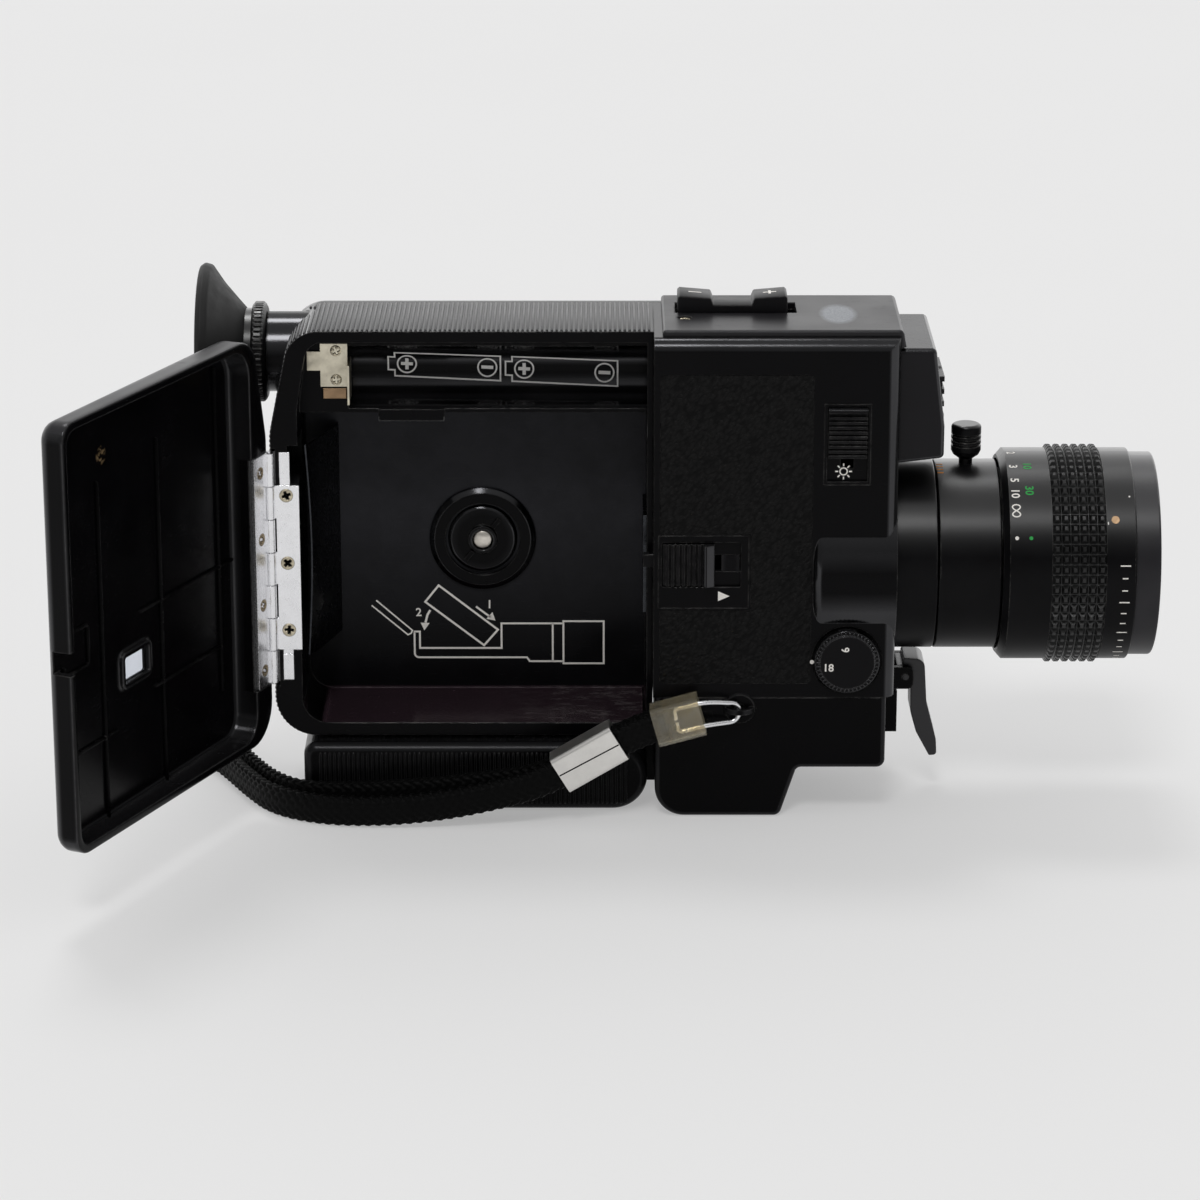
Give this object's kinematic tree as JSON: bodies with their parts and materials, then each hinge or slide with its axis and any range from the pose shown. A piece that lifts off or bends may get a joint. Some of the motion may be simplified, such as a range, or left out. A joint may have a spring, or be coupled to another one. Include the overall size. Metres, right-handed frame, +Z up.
{
  "type": "movie camera",
  "caption": "Hand-held cartridge movie camera with side film door open, zoom lens, folding grip, eyecup and wrist strap.",
  "frame": {"origin": "mouth of the tripod socket in the underside of the tripod block", "axes": "+X along the lens, towards the subject; -Y towards the film door side; +Z up"},
  "size_m": [0.2522, 0.1399, 0.1276],
  "materials": {
    "moulded_shell": "black moulded plastic, satin with polished bands",
    "top_metal": "black satin lacquer",
    "grained_panel": "fine pebble grain",
    "control_plastic": "black, ribbed for grip",
    "lens_black": "black satin anodised",
    "ring_rubber": "black, ridged",
    "coated_glass": "coated, clear",
    "hinge_chrome": "bright plate",
    "screw_brass": "dulled",
    "screw_black": "black oxide",
    "contact_plate": "tarnished plate",
    "spring_steel": "blackened",
    "works_steel": "plain",
    "gear_plastic": "natural white",
    "spindle_plastic": "black, steel tip",
    "strap_weave": "black braid",
    "sleeve_vinyl": "clear, yellowed"
  },
  "bodies": {
    "camera_body": {"chamber_body": "moulded_shell", "left_cover": "moulded_shell", "front_housing": "moulded_shell", "bottom_block": "moulded_shell", "top_plate": "top_metal", "nose_housing": "moulded_shell", "meter_window": "coated_glass", "near_leather": "grained_panel", "far_leather": "grained_panel", "latch_frame": "moulded_shell", "switch_frame": "moulded_shell", "lens_mount": "lens_black", "lens_core": "lens_black", "zoom_group": "coated_glass", "rear_group": "coated_glass", "finder_prism": "coated_glass", "aperture_plate": "spring_steel", "mechanism_frame": "works_steel", "motor": "works_steel", "finder_tube": "lens_black", "eyepiece_tube": "control_plastic", "eyepiece_lens": "coated_glass", "battery_contact": "contact_plate", "end_contacts": "contact_plate", "contact_screws": "screw_brass", "cartridge_spring": "spring_steel", "tripod_bush": "works_steel", "hinge_body_leaf": "hinge_chrome", "hinge_pin": "hinge_chrome", "hinge_screws": "screw_brass", "case_screws": "screw_black", "strap_eyelet": "hinge_chrome", "grip_pin": "works_steel", "strap_loop": "strap_weave", "strap_clamp": "hinge_chrome", "strap_sleeve": "sleeve_vinyl", "strap_link": "hinge_chrome"},
    "film_door": {"door_shell": "moulded_shell", "door_window": "coated_glass", "hinge_door_leaf": "hinge_chrome", "door_screws": "screw_brass"},
    "door_latch": {"door_latch": "control_plastic"},
    "zoom_rocker": {"zoom_rocker": "control_plastic"},
    "zoom_ring": {"zoom_ring": "lens_black", "zoom_knob": "lens_black"},
    "focus_ring": {"focus_sleeve": "lens_black", "focus_grip": "ring_rubber", "front_bezel": "lens_black", "front_element": "coated_glass"},
    "speed_dial": {"speed_dial": "control_plastic"},
    "filter_slider": {"filter_slider": "control_plastic"},
    "trigger_lever": {"trigger_lever": "control_plastic"},
    "folding_grip": {"folding_grip": "control_plastic"},
    "eye_focus": {"dioptre_ring": "control_plastic", "eyecup": "ring_rubber"},
    "take_up_spindle": {"take_up_spindle": "spindle_plastic", "spindle_gear": "gear_plastic"},
    "idler_gear": {"idler_gear": "gear_plastic"},
    "motor_pinion": {"motor_pinion": "gear_plastic"},
    "shutter_disc": {"shutter_disc": "works_steel"}
  },
  "joints": [
    {"name": "film_door_hinge", "type": "hinge", "parent": "camera_body", "child": "film_door", "pos_m": [-0.1055, -0.01415, 0.0595], "axis": [0, 0, 1], "range_deg": [-16, 114]},
    {"name": "door_latch_slide", "type": "slide", "parent": "camera_body", "child": "door_latch", "axis": [1, 0, 0], "range_m": [0, 0.004], "stiffness_N_per_m": 150, "springref_m": -0.002},
    {"name": "zoom_rocker_tilt", "type": "hinge", "parent": "camera_body", "child": "zoom_rocker", "pos_m": [0.00385, 0.00285, 0.11575], "axis": [0, 1, 0], "range_deg": [-5, 5], "stiffness_Nm_per_rad": 0.2},
    {"name": "zoom_ring_turn", "type": "hinge", "parent": "camera_body", "child": "zoom_ring", "pos_m": [0.0585, 0, 0.059], "axis": [1, 0, 0], "range_deg": [-50, 50]},
    {"name": "focus_ring_turn", "type": "hinge", "parent": "camera_body", "child": "focus_ring", "pos_m": [0.084, 0, 0.059], "axis": [1, 0, 0], "range_deg": [-80, 60]},
    {"name": "speed_dial_turn", "type": "hinge", "parent": "camera_body", "child": "speed_dial", "pos_m": [0.0301, -0.0235, 0.0394], "axis": [0, 1, 0], "range_deg": [-60, 60]},
    {"name": "filter_slide", "type": "slide", "parent": "camera_body", "child": "filter_slider", "axis": [0, 0, -1], "range_m": [0, 0.0053]},
    {"name": "trigger_pull", "type": "hinge", "parent": "camera_body", "child": "trigger_lever", "pos_m": [0.0452, 0, 0.0298], "axis": [0, 1, 0], "range_deg": [0, 8], "stiffness_Nm_per_rad": 0.3, "springref_deg": -8.59},
    {"name": "grip_fold", "type": "hinge", "parent": "camera_body", "child": "folding_grip", "pos_m": [-0.025, 0, 0.0084], "axis": [0, 1, 0], "range_deg": [-90, 0]},
    {"name": "eye_focus_turn", "type": "hinge", "parent": "camera_body", "child": "eye_focus", "pos_m": [-0.109, 0.0075, 0.1067], "axis": [1, 0, 0], "range_deg": [-90, 90]},
    {"name": "spindle_spin", "type": "hinge", "parent": "camera_body", "child": "take_up_spindle", "pos_m": [-0.0563, 0.01, 0.0592], "axis": [0, 1, 0], "continuous": true},
    {"name": "idler_spin", "type": "hinge", "parent": "camera_body", "child": "idler_gear", "pos_m": [-0.02054, 0.0154, 0.07526], "axis": [0, 1, 0], "continuous": true},
    {"name": "pinion_spin", "type": "hinge", "parent": "camera_body", "child": "motor_pinion", "pos_m": [0.002, 0.0155, 0.0835], "axis": [0, 1, 0], "continuous": true},
    {"name": "shutter_spin", "type": "hinge", "parent": "camera_body", "child": "shutter_disc", "pos_m": [-0.012, 0, 0.068], "axis": [1, 0, 0], "continuous": true}
  ],
  "couplings": [
    {"joint": "idler_spin", "follows": "spindle_spin", "ratio": -0.96},
    {"joint": "pinion_spin", "follows": "spindle_spin", "ratio": 4.8},
    {"joint": "shutter_spin", "follows": "spindle_spin", "ratio": 4.8}
  ]
}
